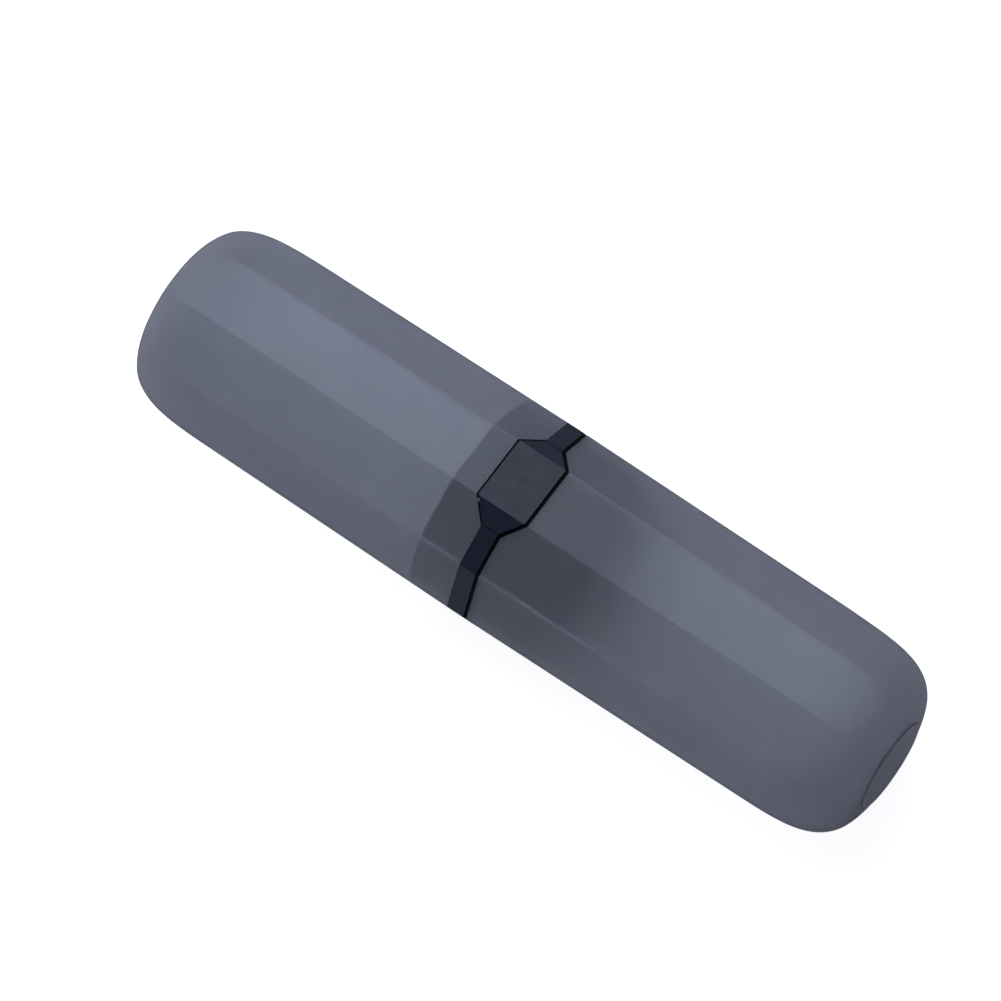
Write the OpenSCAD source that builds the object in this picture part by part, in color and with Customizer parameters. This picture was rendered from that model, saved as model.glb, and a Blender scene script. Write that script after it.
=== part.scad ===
// Travel case for an electric toothbrush: two frosted shells with ten flats meet
// at a dark collar, whose six-sided button lets the lid go.
// The case lies along X with the lid on the +X side and the button on top.
// The origin is under the middle of the case, on the surface that it lies on.

/* [Case] */
// Width over the corners of the ten flats, at the collar
case_w = 60; // [52:1:70]
// Length of the base shell, from its rim to its end
base_l = 109; // [95:1:130]
// Length of the lid shell, from its rim to its end
lid_l = 112.7; // [98:0.1:135]
// Wall of both shells
shell_wall = 1.5; // [1.2:0.1:2]
// Wall of the closed ends
end_wall = 2; // [1.5:0.1:3]
// Draft angle of the moulded shells
draft_angle = 0.43; // [0:0.01:0.8]

/* [Rounded ends] */
// Length over which a shell rounds off towards its end
round_l = 36; // [28:1:45]
// Squareness of the rounding: 2 is an ellipse
round_power = 4; // [3:0.25:5]
// How late the flats give way to a round section
blend_power = 2; // [1.5:0.25:3]
// Radius of the flat foot on the end
foot_r = 12.8; // [10:0.1:15]
// Width of the groove round the foot
foot_groove_w = 0.45; // [0.3:0.05:0.8]
// Depth of the groove round the foot
foot_groove_depth = 0.5; // [0.3:0.05:0.8]

/* [Collar] */
// Width of the collar band
band_l = 5; // [3.5:0.25:7]
// Open joint between the collar band and the lid
joint_gap = 0.95; // [0.7:0.05:1.4]
// Reach of the sleeve into the base shell
base_spigot_l = 13; // [11:0.5:16]
// Reach of the sleeve into the lid
lid_spigot_l = 11.3; // [10.5:0.1:13]
// Wall of the sleeve
sleeve_wall = 1.6; // [1.3:0.1:2]
// Gap between the sleeve and the shells round it
fit_gap = 0.2; // [0.15:0.05:0.3]
// Gap in a glued or welded seam
seam_gap = 0.05; // [0.02:0.01:0.08]

/* [Button] */
// Length of the button along the case
button_l = 14.55; // [13:0.05:16]
// Share of a side flat that the button's slanted wing covers
wing_share = 0.36; // [0.3:0.02:0.44]
// Gap between the button and the notch in the base shell
button_gap = 0.5; // [0.4:0.05:0.7]
// How far the button goes in
button_travel = 0.8; // [0.4:0.1:1]
// Thickness of the button's cover
button_wall = 1.5; // [1.3:0.1:1.8]

/* [Inside] */
// How far the handle guide stands out of the sleeve
guide_l = 12.5; // [12:0.5:16]
// Outer radius of the guide's narrow mouth
guide_mouth_r = 20.5; // [19.5:0.5:22]
// Wall of the handle guide
guide_wall = 1.4; // [1.2:0.1:2]
// Radius inside the cup for the handle's foot
cup_bore_r = 15; // [13.5:0.5:16.5]
// Depth of the cup
cup_depth = 18; // [12:1:25]

/* [Hidden] */

smoke = [0.46, 0.48, 0.54];
charcoal = [0.15, 0.16, 0.2];
black = [0.06, 0.06, 0.08];
pale = [0.8, 0.82, 0.86];
steel = [0.7, 0.71, 0.73];

// One overrun for every cut
overrun = 1;

// Section of the case: a polygon with one flat on top
sides = 10;
facet_angle = 360/sides;
half_facet = facet_angle/2;
case_r = case_w/2;
case_flat = case_r*cos(half_facet);
facet_w = 2*case_r*sin(half_facet);
shell_inner_r = case_r - shell_wall/cos(half_facet);

// Points along one flat: its corner, both ends of a slanted wing, and between them
facet_shares = [0, wing_share/2, wing_share, 0.5, 1 - wing_share, 1 - wing_share/2];
// Radius of the round end section, next to that of the corners
round_share = 0.975;
// Rings in a rounded end
round_steps = 13;

// Distances along the case, from the middle of the collar band
base_rim_x = band_l/2 + seam_gap;
base_end_x = base_rim_x + base_l;
lid_rim_x = band_l/2 + joint_gap;
lid_end_x = lid_rim_x + lid_l;
case_x = (base_end_x - lid_end_x)/2;

// Sleeve
sleeve_flat = case_flat - shell_wall - fit_gap;
bore_flat = sleeve_flat - sleeve_wall;
sleeve_base_x = base_rim_x + base_spigot_l;
sleeve_lid_x = lid_rim_x + lid_spigot_l;

// Plan of the button: half lengths along X, and places across the case along Y
shoulder_y = facet_w/2;
wing_y = shoulder_y + wing_share*facet_w*cos(facet_angle);
wing_gap = 0.5;
shoulder_gap = 0.2;
window_gap = 0.3;
tip_gap = 0.2;
button_half_l = button_l/2;
button_tip_y = wing_y - wing_gap;

// Seal in the joint: its gap to the lid, and how deep it lies
gasket_gap = 0.3;
gasket_recess = 0.5;

// Button's inside: a boss with two rails that stop it under the sleeve
boss_l = 9;
boss_w = 16;
boss_drop = 2.83;
rail_l = 18;
rail_w = 3;
stop_gap = 0.2;
boss_z = case_flat - button_wall - boss_drop;

// Tongue that catches the lid with a ramped tip, and its slot in the sleeve
tongue_w = 3.6;
tongue_wall = 1.2;
tongue_setback = 1.85;
tongue_tip_l = 1.5;
tongue_ramp_l = 0.9;
tongue_ramp_h = 1.1;
tongue_tail_x = 3.5;
tongue_slot_gap = 0.5;
catch_gap = 0.3;
tongue_end_x = sleeve_lid_x - tongue_setback;
tongue_tip_x = tongue_end_x - tongue_tip_l;
tongue_tip_z = sleeve_flat - catch_gap;

// Bridge that carries the springs, under the button
bridge_l = 16;
bridge_wall = 1.5;
bridge_spare = 1.7;
bridge_drop = tongue_wall + button_travel + bridge_spare;
bridge_leg_drop = 4.5;
bridge_top_z = boss_z - bridge_drop;
post_r = 1.1;
post_h = 1.6;

// Springs
spring_y = 5;
spring_r = 1.95;
spring_wire = 0.5;
spring_turns = 4;
spring_steps = 12;
spring_sides = 6;
spring_cup_r = 2.6;
spring_cup_depth = 1;

// Guide
guide_shoulder_share = 0.45;
guide_shoulder_r = between(bore_flat, sleeve_flat, guide_shoulder_share);
guide_plain_l = 5;
guide_plug_l = 4;
guide_plug_wall = 2.2;
guide_steps = 12;
lip_r = 1.6;
lip_bite = 0.9;

// Cup
cup_wall = 2;
cup_floor = 3;
cup_foot_r = 12;
cup_flare = 4;

// A point between a and b
function between(a, b, share) = a + (b - a)*share;

// Corner k of the section with corners at radius 1, as [y, z]
function corner(k) = [sin(facet_angle*(k - 0.5)), cos(facet_angle*(k - 0.5))];

unit_section = [for (k = [0:sides - 1]) for (share = facet_shares) between(corner(k), corner(k + 1), share)];

// The section at a corner radius: rounding 0 keeps the flats, and 1 makes it a circle
function section(r, rounding) =
    [for (p = unit_section) p*r*(1 - rounding + rounding*round_share/norm(p))];

// Half length of a notch across Y: full between the shoulders, narrow past the wings
function notch_x(y, full, narrow) =
    let (share = (abs(y) - shoulder_y)/(wing_y - shoulder_y))
    between(full, narrow, min(1, max(0, share)));

// A ring at one place along the case
function flat_ring(x, points) = [for (p = points) [x, p.x, p.y]];

// The rim of a shell, cut back on top for the button
function rim_ring(points, full, narrow) =
    [for (p = points) [p.y > 0 ? notch_x(p.x, full, narrow) : narrow, p.x, p.y]];

// Corner radius of a drafted surface at a distance from the collar
function drafted(r, x) = r - x*tan(draft_angle);

// One ring of a rounded end, where turn runs from 90 degrees, at its start, to 0 at its tip
function end_ring(x, length, r, turn) =
    let (along = pow(cos(turn), 2/round_power), across = pow(sin(turn), 2/round_power))
    flat_ring(x + length*along, section(drafted(r, x + length*along)*across, pow(along, blend_power)));

// The turn at which a rounded end has come in to a radius
function turn_at(r, full_r) = asin(pow(r/(full_r*round_share), round_power/2));

// Where the inside of a closed end lies
function inner_end_x(end_x) =
    let (last_turn = turn_at(foot_r, drafted(shell_inner_r, end_x)))
    end_x - round_l + (round_l - end_wall)*pow(cos(last_turn), 2/round_power);

// Rings of a rounded end, from its start to a last turn
function end_rings(x, length, r, last_turn) =
    [for (i = [0:round_steps]) end_ring(x, length, r, between(90, last_turn, i/round_steps))];

function reversed(list) = [for (i = [len(list) - 1:-1:0]) list[i]];

// A closed skin over a list of rings with as many points each
module skin(rings) {
    count = len(rings[0]);
    last = len(rings) - 1;
    points = [for (ring = rings) each ring];
    walls = [for (j = [0:last - 1]) for (i = [0:count - 1])
        let (a = j*count + i, b = j*count + (i + 1) % count)
        each [[a, b, a + count], [b, b + count, a + count]]];
    first_cap = [for (i = [count - 1:-1:0]) i];
    last_cap = [for (i = [0:count - 1]) last*count + i];
    polyhedron(points, concat([first_cap], walls, [last_cap]));
}

// One shell, open towards the collar, with its end on +X
module shell(rim_x, notch_end_x, end_x) {
    start_x = end_x - round_l;
    groove_r = foot_r + foot_groove_w;
    outer_turn = turn_at(groove_r, drafted(case_r, end_x));
    inner_turn = turn_at(foot_r, drafted(shell_inner_r, end_x));
    tip_x = start_x + round_l*pow(cos(outer_turn), 2/round_power);
    groove_x = tip_x - foot_groove_depth;
    foot = section(foot_r/round_share, 1);
    groove = section(groove_r/round_share, 1);
    outer_rim = rim_ring(section(drafted(case_r, rim_x), 0), notch_end_x, rim_x);
    inner_rim = rim_ring(section(drafted(shell_inner_r, rim_x), 0), notch_end_x, rim_x);
    skin(concat(
        [flat_ring(end_x, foot), flat_ring(groove_x, foot), flat_ring(groove_x, groove)],
        reversed(end_rings(start_x, round_l, case_r, outer_turn)),
        [outer_rim, inner_rim],
        end_rings(start_x, round_l - end_wall, shell_inner_r, inner_turn)));
}

// A straight prism with the section of the case, given by the distance to its flats
module prism(from_x, to_x, flat) {
    translate([from_x, 0, 0])
        rotate([0, 90, 0])
            rotate(half_facet)
                cylinder(h = to_x - from_x, r = flat/cos(half_facet), $fn = sides);
}

// A tube with that section
module prism_tube(from_x, to_x, outer_flat, inner_flat) {
    difference() {
        prism(from_x, to_x, outer_flat);
        prism(from_x - overrun, to_x + overrun, inner_flat);
    }
}

// The button's outline seen from above, grown by a gap
module button_plan(gap) {
    shoulder = shoulder_y - shoulder_gap;
    polygon([
        [button_half_l + gap, -shoulder], [button_half_l + gap, shoulder],
        [band_l/2 + gap, button_tip_y + gap], [-band_l/2 - gap, button_tip_y + gap],
        [-button_half_l - gap, shoulder], [-button_half_l - gap, -shoulder],
        [-band_l/2 - gap, -button_tip_y - gap], [band_l/2 + gap, -button_tip_y - gap]]);
}

// An upright column over a plan, above the middle of the case
module column() {
    linear_extrude(height = case_w) children();
}

// A box given by its middle in X and Y, its size, and its lowest and highest points
module block(x, y, l, w, low, high) {
    translate([x - l/2, y - w/2, low]) cube([l, w, high - low]);
}

// A cylinder along X
module rod_x(from_x, to_x, r) {
    translate([from_x, 0, 0]) rotate([0, 90, 0]) cylinder(h = to_x - from_x, r = r, $fn = 96);
}

// Puts a piece that is drawn round the collar's middle in its place in the case
module placed() {
    translate([case_x, 0, case_flat]) children();
}

module base_shell() {
    color(smoke) placed() mirror([1, 0, 0])
        shell(base_rim_x, button_half_l + button_gap, base_end_x);
}

module lid_shell() {
    color(smoke) placed()
        shell(lid_rim_x, button_half_l + joint_gap, lid_end_x);
}

module collar_band() {
    opening_w = 2*(button_tip_y + tip_gap);
    color(charcoal) placed() difference() {
        prism_tube(-band_l/2, band_l/2, case_flat, sleeve_flat);
        block(0, 0, 2*band_l, opening_w, 0, case_w);
    }
}

module coupling_sleeve() {
    color(charcoal) placed() difference() {
        prism_tube(-sleeve_base_x, sleeve_lid_x, sleeve_flat, bore_flat);
        column() button_plan(window_gap);
        block((tongue_tip_x + tongue_end_x)/2, 0,
              tongue_tip_l + 2*tongue_slot_gap, tongue_w + 2*tongue_slot_gap, 0, case_w);
    }
}

// Seal in the joint, which passes the button on the lid's side
module joint_gasket() {
    near_x = band_l/2 + seam_gap;
    far_x = lid_rim_x - gasket_gap;
    button_near_x = button_half_l + gasket_gap;
    button_far_x = button_half_l + joint_gap - gasket_gap;
    color(black) placed() intersection() {
        prism_tube(0, button_half_l + case_r, case_flat - gasket_recess, sleeve_flat + seam_gap);
        union() {
            column() polygon([
                [near_x, -case_r], [far_x, -case_r], [far_x, -wing_y], [button_far_x, -shoulder_y],
                [button_far_x, shoulder_y], [far_x, wing_y], [far_x, case_r], [near_x, case_r],
                [near_x, wing_y + tip_gap], [button_near_x, shoulder_y],
                [button_near_x, -shoulder_y], [near_x, -wing_y - tip_gap]]);
            translate([near_x, -case_r, -case_r]) cube([far_x - near_x, case_w, case_r + gasket_gap]);
        }
    }
}

module release_button() {
    color(charcoal) placed() difference() {
        union() {
            intersection() {
                prism_tube(-button_half_l, button_half_l, case_flat, case_flat - button_wall);
                column() button_plan(0);
            }
            block(0, 0, boss_l, boss_w, boss_z, case_flat - button_wall/2);
            for (side = [-1, 1])
                block(0, side*(boss_w - rail_w)/2, rail_l, rail_w, boss_z, bore_flat - stop_gap);
        }
        for (side = [-1, 1])
            translate([0, side*spring_y, boss_z - overrun])
                cylinder(h = spring_cup_depth + overrun, r = spring_cup_r, $fn = 48);
    }
}

// Arm with a hooked tip, whose ramp lets the lid push it down on the way in
module latch_tongue() {
    color(black) placed() rotate([90, 0, 0]) linear_extrude(height = tongue_w, center = true) polygon([
        [-tongue_tail_x, boss_z - tongue_wall], [tongue_end_x, boss_z - tongue_wall],
        [tongue_end_x, tongue_tip_z - tongue_ramp_h], [tongue_end_x - tongue_ramp_l, tongue_tip_z],
        [tongue_tip_x, tongue_tip_z], [tongue_tip_x, boss_z], [-tongue_tail_x, boss_z]]);
}

module button_bridge() {
    color(black) placed() {
        intersection() {
            prism(-bridge_l/2, bridge_l/2, bore_flat);
            union() {
                block(0, 0, bridge_l, case_w, bridge_top_z - bridge_wall, bridge_top_z);
                difference() {
                    block(0, 0, bridge_l, case_w, bridge_top_z - bridge_leg_drop, bridge_top_z);
                    prism(-bridge_l, bridge_l, bore_flat - bridge_wall);
                }
            }
        }
        for (side = [-1, 1])
            translate([0, side*spring_y, bridge_top_z]) cylinder(h = post_h, r = post_r, $fn = 48);
    }
}

// A coil spring that stands on its lower end
module spring(h) {
    rise = h - spring_wire;
    climb = atan(rise/(spring_turns*2*PI*spring_r));
    steps = spring_turns*spring_steps;
    skin([for (i = [0:steps])
        let (a = 360*i/spring_steps, z = spring_wire/2 + rise*i/steps)
        [for (k = [0:spring_sides - 1])
            let (b = -360*k/spring_sides, out = spring_r + spring_wire/2*cos(b), up = spring_wire/2*sin(b))
            [out*cos(a) + up*sin(climb)*sin(a), out*sin(a) - up*sin(climb)*cos(a), z + up*cos(climb)]]]);
}

module button_spring(side) {
    h = bridge_drop + spring_cup_depth - 2*seam_gap;
    color(steel) placed() translate([0, side*spring_y, bridge_top_z + seam_gap]) spring(h);
}

module button_spring_left() {
    button_spring(1);
}

module button_spring_right() {
    button_spring(-1);
}

// Radius of the guide's bell, at a share of its curved length
function bell_r(share) = between(guide_mouth_r, guide_shoulder_r, (1 + cos(180*share))/2);

// Turns a profile of [distance along the case, radius] points round the case's axis
module turned(profile) {
    rotate([0, 90, 0]) rotate_extrude($fn = 96) polygon([for (p = profile) [p.y, p.x]]);
}

module handle_guide() {
    shoulder_x = sleeve_lid_x + seam_gap;
    curve_x = shoulder_x + guide_plain_l;
    curve_l = guide_l - guide_plain_l;
    curve = [for (i = [0:guide_steps]) [curve_x + curve_l*i/guide_steps, bell_r(i/guide_steps)]];
    plug_flat = bore_flat - seam_gap;
    color(black) placed() {
        turned(concat(
            [[shoulder_x, guide_shoulder_r - guide_wall], [shoulder_x, guide_shoulder_r]],
            curve,
            reversed([for (p = curve) [p.x, p.y - guide_wall]])));
        difference() {
            prism(shoulder_x - guide_plug_l, shoulder_x + guide_wall, plug_flat);
            rod_x(shoulder_x - guide_plug_l - overrun, shoulder_x + guide_wall + overrun,
                  plug_flat - guide_plug_wall);
            block(shoulder_x - guide_plug_l, 0, 2*guide_plug_l, tongue_w + 4*tongue_slot_gap, 0, case_w);
        }
    }
}

// Soft lip round the guide's mouth
module guide_lip() {
    mouth_x = sleeve_lid_x + seam_gap + guide_l;
    color(black) placed()
        translate([mouth_x + seam_gap + lip_r, 0, 0])
            rotate([0, 90, 0])
                rotate_extrude($fn = 96)
                    translate([guide_mouth_r - lip_bite, 0]) circle(r = lip_r, $fn = 32);
}

// Soft cup for the foot of the handle, in the end of the base shell
module handle_cup() {
    floor_x = inner_end_x(base_end_x) - seam_gap;
    outer_r = cup_bore_r + cup_wall;
    mouth_x = floor_x - cup_floor - cup_depth;
    color(pale) placed() mirror([1, 0, 0])
        turned([
            [floor_x, 0], [floor_x, cup_foot_r], [floor_x - cup_flare, outer_r], [mouth_x, outer_r],
            [mouth_x, cup_bore_r], [floor_x - cup_floor, cup_bore_r], [floor_x - cup_floor, 0]]);
}

base_shell();
lid_shell();
collar_band();
coupling_sleeve();
joint_gasket();
release_button();
latch_tongue();
button_bridge();
button_spring_left();
button_spring_right();
handle_guide();
guide_lip();
handle_cup();
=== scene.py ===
# %% [markdown]
# A frosted travel case for an electric toothbrush.
# Two translucent shells with ten flats meet at an opaque collar, whose six-sided button lets the lid go.
# The CAD model holds every piece at its real size and place. This lesson dresses it: it makes the two
# shells and the springs again in a smoother form, softens the moulded edges, and gives each plastic, rubber
# and steel a finish.

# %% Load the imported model
from math import asin, atan, cos, pi, radians, sin, tan

import bmesh
import bpy
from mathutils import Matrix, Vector


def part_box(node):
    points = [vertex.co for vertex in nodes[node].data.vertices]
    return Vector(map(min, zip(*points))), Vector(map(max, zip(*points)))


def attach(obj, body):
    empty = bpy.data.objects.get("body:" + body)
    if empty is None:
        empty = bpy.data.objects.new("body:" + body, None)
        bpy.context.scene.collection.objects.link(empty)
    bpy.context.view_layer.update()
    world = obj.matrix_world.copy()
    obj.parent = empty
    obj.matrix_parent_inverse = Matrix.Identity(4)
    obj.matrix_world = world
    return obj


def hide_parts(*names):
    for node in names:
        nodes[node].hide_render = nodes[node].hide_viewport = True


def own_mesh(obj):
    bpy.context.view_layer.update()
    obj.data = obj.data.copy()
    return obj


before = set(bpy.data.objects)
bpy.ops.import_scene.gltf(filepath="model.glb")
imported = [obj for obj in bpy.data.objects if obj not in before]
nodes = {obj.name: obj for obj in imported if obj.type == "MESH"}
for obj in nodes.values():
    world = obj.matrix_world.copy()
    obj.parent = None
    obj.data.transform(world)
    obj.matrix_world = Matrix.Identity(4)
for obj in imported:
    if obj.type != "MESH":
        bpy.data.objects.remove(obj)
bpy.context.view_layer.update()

print("pieces in the CAD model:", len(nodes))

# %% [markdown]
# Blender works in metres, so a length in millimetres is multiplied by MM.
# The case's main sizes are read from the boxes of the CAD pieces. That keeps the new shells on their
# collar when the model is packed again. What a box doesn't show, such as a wall, is a named value.

# %% Sizes of the case
MM = 0.001
FLATS = 10
HALF_FLAT = pi / FLATS

collar_low, collar_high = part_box("collar_band")
base_low, base_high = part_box("base_shell")
lid_low, lid_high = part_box("lid_shell")
button_tip_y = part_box("release_button")[1].y

case_r = collar_high.y
axis_z = case_r * cos(HALF_FLAT)
middle_x = (collar_low.x + collar_high.x) / 2
joint_gap = lid_low.x - collar_high.x
print(f"width over corners {2 * case_r / MM:.1f} mm, length {(lid_high.x - base_low.x) / MM:.1f} mm")

# %% [markdown]
# The camera looks down from high above the case, a little from its front and right, as in the picture.
# The angles were found by fitting the model's corners to those in the picture. It stands far off with a
# long lens, which keeps the far end nearly as wide as the near one. Blender takes the lens and the sensor
# in millimetres.

# %% Camera
VIEW_AZIMUTH = radians(35.33)
VIEW_ELEVATION = radians(67.41)
VIEW_DISTANCE = 2337.3 * MM
COLLAR_RIGHT_OF_CENTRE = 5.56 * MM
COLLAR_BELOW_CENTRE = 6.27 * MM
LENS = 323.7
SENSOR = 36.0

camera = bpy.data.objects.new("camera", bpy.data.cameras.new("camera"))
bpy.context.scene.collection.objects.link(camera)
bpy.context.scene.camera = camera
camera.data.sensor_width = SENSOR
camera.data.lens = LENS
level = cos(VIEW_ELEVATION)
back = Vector((sin(VIEW_AZIMUTH) * level, -cos(VIEW_AZIMUTH) * level, sin(VIEW_ELEVATION)))
turn = (-back).to_track_quat("-Z", "Y")
right = turn @ Vector((1, 0, 0))
up = turn @ Vector((0, 1, 0))
collar_middle = Vector((middle_x, 0, axis_z))
camera.rotation_mode = "QUATERNION"
camera.rotation_quaternion = turn
picture_middle = collar_middle - right * COLLAR_RIGHT_OF_CENTRE + up * COLLAR_BELOW_CENTRE
camera.location = picture_middle + back * VIEW_DISTANCE
print("camera at", [round(x / MM) for x in camera.location])

# %% [markdown]
# Materials are made of nodes. One small function adds a node with its settings, its values and its links,
# so that each material below reads as a list. Colours are written as the sRGB hex values that a screen
# shows, and one function turns them into the linear light that Blender computes with.
# No moulded surface is quite even, so three more functions make what the finishes share: a value that
# wanders, a colour that clouds over, and the fine relief that a mould's wall leaves on the part. All
# three use noise in object space. Its scale is 1 over the size of a spot, so sizes are real lengths.

# %% Helpers for materials
NOISE_LOW = 0.3
NOISE_HIGH = 0.7
NOISE_DETAIL = 2.0
RELIEF_DETAIL = 3.0


def linear(hex_colour):
    """An sRGB hex colour such as "#8090A0" as linear red, green, blue and alpha."""
    shares = [int(hex_colour[i:i + 2], 16) / 255 for i in (1, 3, 5)]
    return [s / 12.92 if s <= 0.04045 else ((s + 0.055) / 1.055) ** 2.4 for s in shares] + [1.0]


def add_node(tree, kind, settings=None, values=None, links=None):
    """A new node with its settings, its sockets' values and the sockets that feed it."""
    node = tree.nodes.new(kind)
    for name, value in (settings or {}).items():
        setattr(node, name, value)
    for socket, value in (values or {}).items():
        node.inputs[socket].default_value = value
    for socket, source in (links or {}).items():
        tree.links.new(source, node.inputs[socket])
    return node


def new_material(name, values):
    """A material with one Principled shader, and its tree, shader and object coordinates in metres."""
    material = bpy.data.materials.new(name)
    material.use_nodes = True
    tree = material.node_tree
    shader = tree.nodes["Principled BSDF"]
    for socket, value in values.items():
        shader.inputs[socket].default_value = value
    place = add_node(tree, "ShaderNodeTexCoord").outputs["Object"]
    return material, tree, shader, place


def wander(tree, place, size, low, high, detail=NOISE_DETAIL):
    """A value that wanders between low and high, in spots of about one size."""
    grain = {"Scale": 1 / size, "Detail": detail}
    spots = add_node(tree, "ShaderNodeTexNoise", values=grain, links={"Vector": place})
    span = {"From Min": NOISE_LOW, "From Max": NOISE_HIGH, "To Min": low, "To Max": high}
    spread = add_node(tree, "ShaderNodeMapRange", values=span, links={"Value": spots.outputs["Fac"]})
    return spread.outputs["Result"]


def cloud(tree, place, size, first, second):
    """A colour that clouds over from one hex colour to another."""
    share = wander(tree, place, size, 0.0, 1.0)
    mix = add_node(tree, "ShaderNodeMix", {"data_type": "RGBA"}, links={"Factor": share})
    mix.inputs["A"].default_value = linear(first)
    mix.inputs["B"].default_value = linear(second)
    return mix.outputs["Result"]


def relief(tree, place, size, depth, strength=1.0):
    """A fine relief, as a normal for the shader, with spots of one size and a real depth."""
    height = wander(tree, place, size, 0.0, 1.0, detail=RELIEF_DETAIL)
    values = {"Strength": strength, "Distance": depth}
    return add_node(tree, "ShaderNodeBump", values=values, links={"Height": height}).outputs["Normal"]


# %% [markdown]
# The picture shows the case cut out on white, lit from above, with its left half a little brighter than
# its right. A wide soft lamp hangs overhead, and its faint image lies on the top flat. A second one
# hangs lower, beyond the left end. The room is dark otherwise, so that the side flats stay darker than
# the top. The Light Path node makes the room white where the camera itself looks at it, and lifts the
# floor to white there. The floor is lifted by less where it is seen through the frosted walls, and not at
# all where it lights a surface or shows in a reflection. It still shows the case's soft shadow.

# %% Floor and studio
FLOOR_SIZE = 6.0
LIFT_SEEN = 0.9
LIFT_THROUGH = 0.2
COOL_WHITE = linear("#E1E9FC")
ROOM_LIGHT = 0.06
LAMP_WATTS = 7.6

paper, tree, shader, place = new_material("matt white paper", {"Roughness": 0.9})
tree.links.new(cloud(tree, place, 1.5 * MM, "#E9E9EA", "#EDEDEE"), shader.inputs["Base Color"])
light_path = add_node(tree, "ShaderNodeLightPath").outputs
lifts = []
for ray, lift in (("Is Camera Ray", LIFT_SEEN), ("Is Transmission Ray", LIFT_THROUGH)):
    by_ray = add_node(tree, "ShaderNodeMath", {"operation": "MULTIPLY"}, {1: lift}, {0: light_path[ray]})
    lifts.append(by_ray.outputs[0])
both = add_node(tree, "ShaderNodeMath", {"operation": "ADD"}, links={0: lifts[0], 1: lifts[1]})
shader.inputs["Emission Color"].default_value = linear("#FFFFFF")
tree.links.new(both.outputs[0], shader.inputs["Emission Strength"])

bpy.ops.mesh.primitive_plane_add(size=FLOOR_SIZE)
floor = bpy.context.object
floor.name = "floor"
floor.data.materials.append(paper)

world = bpy.data.worlds.new("studio")
bpy.context.scene.world = world
world.use_nodes = True
tree = world.node_tree
seen = add_node(tree, "ShaderNodeLightPath").outputs["Is Camera Ray"]
walls = add_node(tree, "ShaderNodeMix", {"data_type": "RGBA"}, links={"Factor": seen})
walls.inputs["A"].default_value = [ROOM_LIGHT * c for c in COOL_WHITE[:3]] + [1.0]
walls.inputs["B"].default_value = linear("#FFFFFF")
tree.links.new(walls.outputs["Result"], tree.nodes["Background"].inputs["Color"])


def softbox(name, place, size, watts):
    """A square soft lamp that faces the collar."""
    lamp = bpy.data.lights.new(name, "AREA")
    lamp.size = size
    lamp.energy = watts
    lamp.color = COOL_WHITE[:3]
    holder = bpy.data.objects.new(name, lamp)
    holder.location = place
    holder.rotation_mode = "QUATERNION"
    holder.rotation_quaternion = (collar_middle - Vector(place)).to_track_quat("-Z", "Y")
    bpy.context.scene.collection.objects.link(holder)


softbox("overhead", place=(-0.4, 0.45, 1.5), size=1.2, watts=LAMP_WATTS)
softbox("left_end", place=(-1.1, 0.0, 0.9), size=1.0, watts=LAMP_WATTS)
bpy.context.scene.view_settings.view_transform = "Standard"
print("stage and lamps ready")

# %% [markdown]
# A moulded shell is a loft. Its section has ten flats with small fillets, where the tool maker's cutter
# left a radius, and towards the closed end the flats give way to a circle while the tube rounds off.
# A modelled cube with bevels couldn't follow that change, so the surface is worked out ring by ring:
# first the section, then how it shrinks along the case.

# %% Section of a shell
CREASE_RADIUS = 0.2 * MM
ARC_STEPS = 4
WING_SHARE = 0.36
FLAT_SHARES = (0.12, 0.24, WING_SHARE, 0.5, 1 - WING_SHARE, 0.76, 0.88)
ROUND_SHARE = 0.975


def on_circle(angle, radius=1.0):
    """A point [y, z] at an angle from straight up."""
    return Vector((radius * sin(angle), radius * cos(angle)))


def unit_section():
    """Points round the ten flats, with their corners at radius 1 before the fillets."""
    fillet = CREASE_RADIUS / case_r
    points = []
    for k in range(FLATS):
        corner = HALF_FLAT * (2 * k - 1)
        next_corner = corner + 2 * HALF_FLAT
        centre = on_circle(corner, 1 - fillet / cos(HALF_FLAT))
        for step in range(ARC_STEPS + 1):
            points.append(centre + on_circle(corner + HALF_FLAT * (2 * step / ARC_STEPS - 1), fillet))
        for share in FLAT_SHARES:
            points.append(on_circle(corner).lerp(on_circle(next_corner), share))
    return points


UNIT_SECTION = unit_section()


def section(radius, rounding):
    """The section at a corner radius: rounding 0 keeps the flats, and 1 makes it a circle."""
    return [p * radius * (1 - rounding + rounding * ROUND_SHARE / p.length) for p in UNIT_SECTION]


print("points round the section:", len(UNIT_SECTION))

# %% [markdown]
# Along the case the section shrinks by the draft angle, which lets the moulded part leave its mould.
# Over the last stretch it follows a superellipse, a curve between an ellipse and a rectangle. Its steps
# start small and grow, which sets the rings about 1 mm apart where it bends. Even steps would leave a gap
# of several millimetres at its start.

# %% Rings of a shell
SHELL_WALL = 1.5 * MM
END_WALL = 2.0 * MM
DRAFT = radians(0.43)
ROUND_LENGTH = 36.0 * MM
ROUND_POWER = 4
BLEND_POWER = 2
FOOT_RADIUS = 12.8 * MM
GROOVE_WIDTH = 0.45 * MM
GROOVE_DEPTH = 0.5 * MM
ROUND_RINGS = 44
inner_r = case_r - SHELL_WALL / cos(HALF_FLAT)


def drafted(radius, x):
    """Corner radius of a drafted surface at a distance from the collar's middle."""
    return radius - x * tan(DRAFT)


def flat_ring(x, points):
    """A ring of [x, y, z] points at one distance."""
    return [Vector((x, p.x, p.y)) for p in points]


def end_ring(x, length, radius, turn):
    """One ring of a rounded end: turn goes from a right angle at its start to 0 at its tip."""
    along = max(0.0, cos(turn)) ** (2 / ROUND_POWER)
    across = sin(turn) ** (2 / ROUND_POWER)
    place = x + length * along
    return flat_ring(place, section(drafted(radius, place) * across, along ** BLEND_POWER))


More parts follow.
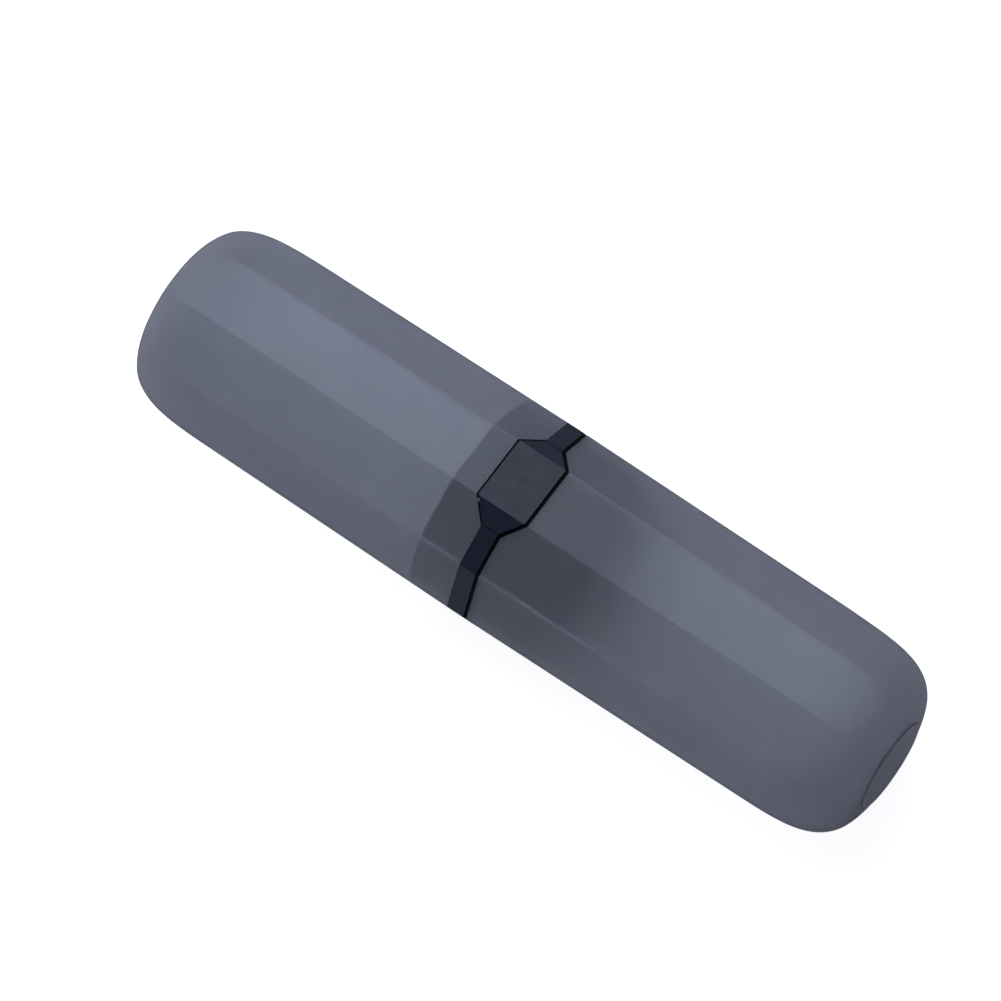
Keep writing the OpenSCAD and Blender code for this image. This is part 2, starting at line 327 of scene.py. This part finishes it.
def turn_at(radius, full_radius):
    """The turn at which a rounded end has come in to a radius."""
    return asin((radius / (full_radius * ROUND_SHARE)) ** (ROUND_POWER / 2))


def end_rings(x, length, radius, last_turn):
    """Rings of a rounded end, from its start to a last turn."""
    shares = [(i / ROUND_RINGS) ** 2 for i in range(ROUND_RINGS + 1)]
    return [end_ring(x, length, radius, pi / 2 + (last_turn - pi / 2) * share) for share in shares]


# %% [markdown]
# The rims are cut back on top, where the button lies. The notch is full between the shoulders of the
# button and narrows over the side flats, so a rim point's distance depends on its place across the case.

# %% Rim with its notch
WING_GAP = 0.5 * MM
shoulder_y = case_r * sin(HALF_FLAT)
wing_y = button_tip_y + WING_GAP


def rim_ring(radius, full, narrow):
    """The rim of a drafted surface, cut back to full on top and narrow elsewhere."""
    ring = []
    for p in UNIT_SECTION:
        across = (abs(p.x * radius) - shoulder_y) / (wing_y - shoulder_y)
        share = min(1.0, max(0.0, across)) if p.y > 0 else 1.0
        x = full + (narrow - full) * share
        point = p * drafted(radius, x)
        ring.append(Vector((x, point.x, point.y)))
    return ring


def shell_rings(rim_x, notch_x, end_x):
    """All rings of a shell, from its foot along the outside to the rim and back along the inside."""
    start_x = end_x - ROUND_LENGTH
    groove_r = FOOT_RADIUS + GROOVE_WIDTH
    outer_turn = turn_at(groove_r, drafted(case_r, end_x))
    inner_turn = turn_at(FOOT_RADIUS, drafted(inner_r, end_x))
    outside = end_rings(start_x, ROUND_LENGTH, case_r, outer_turn)
    inside = end_rings(start_x, ROUND_LENGTH - END_WALL, inner_r, inner_turn)
    groove_x = outside[-1][0].x - GROOVE_DEPTH
    foot = section(FOOT_RADIUS / ROUND_SHARE, 1)
    groove = section(groove_r / ROUND_SHARE, 1)
    return (
        [flat_ring(end_x, foot), flat_ring(groove_x, foot), flat_ring(groove_x, groove)]
        + outside[::-1]
        + [rim_ring(case_r, notch_x, rim_x), rim_ring(inner_r, notch_x, rim_x)]
        + inside
    )


# %% [markdown]
# The rings become a skin: each point is joined to the next one in its ring and to the same one in the next
# ring, and the first and last ring are capped. The real shell has no knife edges either, so a bevel
# rounds its rim and its foot, and weighted normals keep the flats flat in shading. The rim's faces get the
# second material slot, which is unfrosted and painted near black as shade.

# %% Skin and shells
BEVEL_STEPS = 3
SHELL_EDGE_ANGLE = radians(50)
BASE_RIM_RADIUS = 0.08 * MM
LID_RIM_RADIUS = 0.2 * MM
CAPS = 2
FOOT_RINGS = 3
RIM_RING = FOOT_RINGS + ROUND_RINGS + 1
BUTTON_LENGTH = 14.55 * MM
BUTTON_GAP = 0.5 * MM


def skin(name, rings):
    """A closed mesh over rings with as many points each, whose first and last ring are capped."""
    count = len(rings[0])
    last = (len(rings) - 1) * count
    faces = [list(range(count)), list(range(last, last + count))]
    for start in range(0, last, count):
        for i in range(count):
            j = (i + 1) % count
            faces.append([start + i, start + j, start + j + count, start + i + count])
    mesh = bpy.data.meshes.new(name)
    mesh.from_pydata([point for ring in rings for point in ring], [], faces)
    body = bmesh.new()
    body.from_mesh(mesh)
    bmesh.ops.recalc_face_normals(body, faces=body.faces)
    body.to_mesh(mesh)
    body.free()
    mesh.shade_smooth()
    piece = bpy.data.objects.new(name, mesh)
    bpy.context.scene.collection.objects.link(piece)
    return piece


def soften(piece, radius, least_angle):
    """Rounds a piece's sharp edges as a mould does, and keeps its flats flat in shading."""
    edges = piece.modifiers.new("moulded edges", "BEVEL")
    edges.width = radius
    edges.segments = BEVEL_STEPS
    edges.limit_method = "ANGLE"
    edges.angle_limit = least_angle
    normals = piece.modifiers.new("even shading", "WEIGHTED_NORMAL")
    normals.keep_sharp = True


def make_shell(name, body, side, low_x, high_x, notch_gap, rim_radius):
    """One shell that stands for its CAD node. side is 1 towards the lid and -1 towards the base."""
    reaches = sorted(abs(x - middle_x) for x in (low_x, high_x))
    rings = shell_rings(reaches[0], BUTTON_LENGTH / 2 + notch_gap, reaches[1])
    placed = [[Vector((middle_x + side * p.x, p.y, axis_z + p.z)) for p in ring] for ring in rings]
    piece = skin(name + "_smooth", placed)
    # The rim's faces take the second slot, whose material paints them near black as shade.
    rim_faces = CAPS + RIM_RING * len(UNIT_SECTION)
    for face in piece.data.polygons[rim_faces:rim_faces + len(UNIT_SECTION)]:
        face.material_index = 1
    soften(piece, rim_radius, SHELL_EDGE_ANGLE)
    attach(piece, body)
    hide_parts(name)
    print(piece.name, len(piece.data.vertices), "points")
    return piece


base_shell = make_shell("base_shell", "base", -1, base_low.x, base_high.x, BUTTON_GAP, BASE_RIM_RADIUS)
lid_shell = make_shell("lid_shell", "lid", 1, lid_low.x, lid_high.x, joint_gap, LID_RIM_RADIUS)

# %% [markdown]
# Two coil springs lift the button. Spring wire is drawn, wound on a mandrel and cut. The CAD coils have
# six-sided wire, which would show as bars, so each is swept again with round wire: rings of points, each
# square to the wire, follow a helix. Height, place and radius come from the CAD coil's box.
# The lower end stands on the bridge.

# %% Springs
SPRING_WIRE = 0.5 * MM
SPRING_TURNS = 4
STEPS_PER_TURN = 32
WIRE_SIDES = 12


def coil_rings(radius, height):
    """Rings of wire round a helix that stands on the origin."""
    rise = height - SPRING_WIRE
    climb = atan(rise / (SPRING_TURNS * 2 * pi * radius))
    steps = SPRING_TURNS * STEPS_PER_TURN
    rings = []
    for i in range(steps + 1):
        a = 2 * pi * i / STEPS_PER_TURN
        middle = Vector((radius * cos(a), radius * sin(a), SPRING_WIRE / 2 + rise * i / steps))
        outward = Vector((cos(a), sin(a), 0))
        upward = Vector((sin(climb) * sin(a), -sin(climb) * cos(a), cos(climb)))
        turns = [2 * pi * k / WIRE_SIDES for k in range(WIRE_SIDES)]
        rings.append([middle + (outward * cos(b) + upward * sin(b)) * SPRING_WIRE / 2 for b in turns])
    return rings


def make_spring(name):
    """A round-wired coil that stands for its CAD node."""
    low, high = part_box(name)
    foot = Vector(((low.x + high.x) / 2, (low.y + high.y) / 2, low.z))
    height = high.z - low.z
    radius = (high.y - low.y - SPRING_WIRE) / 2
    piece = skin(name + "_wound", [[foot + p for p in ring] for ring in coil_rings(radius, height)])
    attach(piece, "base")
    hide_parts(name)
    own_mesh(piece)
    print(f"{piece.name}: {height / MM:.2f} mm high, radius {radius / MM:.2f} mm")
    return piece


springs = [make_spring("button_spring_left"), make_spring("button_spring_right")]

# %% [markdown]
# The other pieces keep their CAD meshes. Those have knife edges and a skin of triangles, so modifiers
# dress them: the faces are joined, flat ones are made one again, and the edges get the small radius
# that a mould leaves. The button's and the band's radii are small, because in the picture they run into
# each other with hardly a line between them. The sleeve's is the smallest, so that the slot between its
# window and the button stays narrow.

# %% Moulded edges on the CAD pieces
EDGE_RADII = {
    "collar_band": 0.06 * MM,
    "release_button": 0.04 * MM,
    "coupling_sleeve": 0.03 * MM,
    "joint_gasket": 0.05 * MM,
    "latch_tongue": 0.1 * MM,
    "button_bridge": 0.1 * MM,
}
EDGE_ANGLE = radians(30)
FLAT_ANGLE = radians(1)
WELD_DISTANCE = 0.001 * MM


def join_faces(piece):
    """Joins the triangles of a CAD piece at their corners."""
    weld = piece.modifiers.new("joined faces", "WELD")
    weld.merge_threshold = WELD_DISTANCE


def dress(piece, radius):
    """Makes a CAD piece's flats one face each and rounds its edges."""
    join_faces(piece)
    flats = piece.modifiers.new("one face per flat", "DECIMATE")
    flats.decimate_type = "DISSOLVE"
    flats.angle_limit = FLAT_ANGLE
    soften(piece, radius, EDGE_ANGLE)


for name, radius in EDGE_RADII.items():
    dress(nodes[name], radius)
print("softened:", ", ".join(EDGE_RADII))

# %% [markdown]
# The shells are polycarbonate (PC), the usual plastic for clear cases, tinted smoke grey with a blue
# cast and moulded in a tool whose walls are etched. The etching frosts both faces, so light goes through
# but shapes behind it blur, and the sleeve shows sharply only because it lies close under the wall.
# Roughness 0.55 is that blur. PC has an IOR of 1.58, and it is lowered to 1.5, which dims the sheen to
# the picture's. The tint is in two places, as on the real part. Most of it is absorption in the wall,
# which darkens what is seen along the wall, at the sides and the round ends. The rest is on the surface,
# where the frost also scatters a little light back. That share is small, 13 percent, and it gives the
# parts over the dark sleeve their blue-grey veil. Resin flow leaves faint clouds about 9 mm wide. Real
# etching has grains near 0.05 mm. They are drawn 0.4 mm wide, so that the picture holds them.

# %% Frosted smoke polycarbonate
SMOKE = linear("#BCB1BC")
SMOKE_DENSITY = 125.0

frost, tree, shader, place = new_material("frosted smoke polycarbonate", {
    "Roughness": 0.55, "IOR": 1.5, "Transmission Weight": 0.87})
tree.links.new(cloud(tree, place, 9 * MM, "#E8ECF4", "#EEF2F8"), shader.inputs["Base Color"])
tree.links.new(relief(tree, place, 0.4 * MM, 0.004 * MM), shader.inputs["Normal"])
smoke = add_node(tree, "ShaderNodeVolumeAbsorption", values={"Color": SMOKE, "Density": SMOKE_DENSITY})
tree.links.new(smoke.outputs["Volume"], tree.nodes["Material Output"].inputs["Volume"])
for shell in (base_shell, lid_shell):
    shell.data.materials.append(frost)
print(frost.name, "absorbs at", SMOKE_DENSITY, "per metre")

# %% [markdown]
# The rims aren't frosted. They were shut off against the collar's side of the tool, so they are smooth,
# and whoever looks into one looks along the wall, through so much smoke that it is nearly black. Here that
# darkness, and the shade in the gap beside the rim, are painted: the rim's faces have a slot of their own,
# coloured near black as painted shade. In the picture that is the thin dark line on the left of the button.

# %% Rim of smoke polycarbonate, painted dark as shade
rim, tree, shader, place = new_material("smoke polycarbonate rim painted dark as shade", {"IOR": 1.58})
tree.links.new(cloud(tree, place, 3 * MM, "#10131C", "#161A25"), shader.inputs["Base Color"])
tree.links.new(wander(tree, place, 0.8 * MM, 0.25, 0.4), shader.inputs["Roughness"])
for shell in (base_shell, lid_shell):
    shell.data.materials.append(rim)
print(rim.name, "on both rims")

# %% [markdown]
# The collar and its button are opaque ABS, coloured charcoal with a blue cast in the pellet. ABS takes
# the mould's surface well, and this one is fine spark-eroded satin, a light leather of dots about 0.1 mm
# wide, drawn here at 0.3 mm. IOR 1.54 is typical for ABS. The roughness wanders a little, as handling
# polishes the high places.

# %% Satin charcoal ABS
def coat(piece, material):
    """Gives a whole piece one material."""
    piece.data.materials.clear()
    piece.data.materials.append(material)


satin, tree, shader, place = new_material("satin charcoal ABS", {"IOR": 1.54})
tree.links.new(cloud(tree, place, 6 * MM, "#212939", "#252E3F"), shader.inputs["Base Color"])
tree.links.new(wander(tree, place, 4 * MM, 0.4, 0.48), shader.inputs["Roughness"])
tree.links.new(relief(tree, place, 0.3 * MM, 0.006 * MM), shader.inputs["Normal"])
for name in ("collar_band", "release_button"):
    coat(nodes[name], satin)
print(satin.name, "on the collar and its button")

# %% [markdown]
# The sleeve is the same ABS in a plain polished tool, darker and bluer. It is drawn off a long steel core,
# which leaves faint streaks along the case. They come from noise that is stretched along X.

# %% Drawn charcoal ABS
STREAK_STRETCH = 0.06

drawn, tree, shader, place = new_material("drawn charcoal ABS", {"IOR": 1.54})
along_case = {"Scale": (STREAK_STRETCH, 1, 1)}
stretched = add_node(tree, "ShaderNodeMapping", values=along_case, links={"Vector": place})
streaks = stretched.outputs["Vector"]
tree.links.new(cloud(tree, place, 6 * MM, "#101E38", "#14223E"), shader.inputs["Base Color"])
tree.links.new(wander(tree, streaks, 0.5 * MM, 0.42, 0.56), shader.inputs["Roughness"])
tree.links.new(relief(tree, streaks, 0.5 * MM, 0.005 * MM), shader.inputs["Normal"])
coat(nodes["coupling_sleeve"], drawn)
print(drawn.name, "on the sleeve")

# %% [markdown]
# The seal in the joint is black silicone rubber, moulded and tumbled, with a dull skin that catches
# fine dust. It is very dark, because in the picture the joint is the darkest line of the case.

# %% Black silicone rubber
rubber, tree, shader, place = new_material("black silicone rubber", {"IOR": 1.41})
tree.links.new(cloud(tree, place, 0.6 * MM, "#050609", "#0B0D12"), shader.inputs["Base Color"])
tree.links.new(wander(tree, place, 1.0 * MM, 0.68, 0.82), shader.inputs["Roughness"])
coat(nodes["joint_gasket"], rubber)
print(rubber.name, "in the joint")

# %% [markdown]
# The latch tongue and the bridge rub and flex, so they are acetal (POM), the plastic of snap hooks and
# gears: slippery, slightly waxy, here coloured black. Its surface is smoother than that of the ABS, with
# soft swirls about 2 mm wide where the resin cooled.

# %% Black acetal
acetal, tree, shader, place = new_material("black acetal", {"IOR": 1.48})
tree.links.new(cloud(tree, place, 2 * MM, "#12141A", "#1A1D25"), shader.inputs["Base Color"])
tree.links.new(wander(tree, place, 2 * MM, 0.3, 0.42), shader.inputs["Roughness"])
tree.links.new(relief(tree, place, 2 * MM, 0.01 * MM), shader.inputs["Normal"])
for name in ("latch_tongue", "button_bridge"):
    coat(nodes[name], acetal)
print(acetal.name, "on the latch")

# %% [markdown]
# The springs are bright stainless spring wire (grade 302). Drawing it through a die leaves fine scratches
# along the wire, which blur its highlights, and winding leaves a trace of straw colour.

# %% Drawn spring steel
steel, tree, shader, place = new_material("drawn spring steel", {"Metallic": 1.0})
tree.links.new(cloud(tree, place, 0.8 * MM, "#C3C4C6", "#CFCCC5"), shader.inputs["Base Color"])
tree.links.new(wander(tree, place, 0.15 * MM, 0.22, 0.38), shader.inputs["Roughness"])
tree.links.new(relief(tree, place, 0.1 * MM, 0.003 * MM), shader.inputs["Normal"])
for spring in springs:
    coat(spring, steel)
print(steel.name, "on both springs")

# %% [markdown]
# The guide and its lip touch the brush's handle, so they are a thermoplastic elastomer (TPE), the soft
# grip plastic, in charcoal with a blue cast. It is matt and slightly powdery, with an etched texture of
# about 0.25 mm and a bloom of paler patches where it has been handled.

# %% Soft-touch elastomer
soft_touch, tree, shader, place = new_material("charcoal soft-touch elastomer", {"IOR": 1.48})
tree.links.new(cloud(tree, place, 7 * MM, "#121E3A", "#182645"), shader.inputs["Base Color"])
tree.links.new(wander(tree, place, 3 * MM, 0.66, 0.8), shader.inputs["Roughness"])
tree.links.new(relief(tree, place, 0.25 * MM, 0.012 * MM), shader.inputs["Normal"])
for name in ("handle_guide", "guide_lip"):
    coat(nodes[name], soft_touch)
print(soft_touch.name, "on the guide and its lip")

# %% [markdown]
# The cup that takes the handle's foot is moulded from uncoloured liquid silicone. It is milky: light goes
# through it, but blurred, so it hardly darkens the end of the shell. IOR 1.41 is typical for silicone.
# Its skin is matt, with a fine powdered texture.

# %% Milky silicone
milky, tree, shader, place = new_material("milky silicone", {
    "IOR": 1.41, "Roughness": 0.5, "Transmission Weight": 1.0})
tree.links.new(cloud(tree, place, 5 * MM, "#FBFCFD", "#FDFEFF"), shader.inputs["Base Color"])
tree.links.new(relief(tree, place, 0.3 * MM, 0.006 * MM), shader.inputs["Normal"])
coat(nodes["handle_cup"], milky)
print(milky.name, "on the cup")

# %% [markdown]
# The guide, its lip and the cup are round and soft, and only show as blurred shapes behind the frosted
# walls. A bevel would add nothing there, so their faces are only joined.

# %% Joined faces on the soft pieces
SOFT_PIECES = ("handle_guide", "guide_lip", "handle_cup")

for name in SOFT_PIECES:
    join_faces(nodes[name])
print("joined:", ", ".join(SOFT_PIECES))
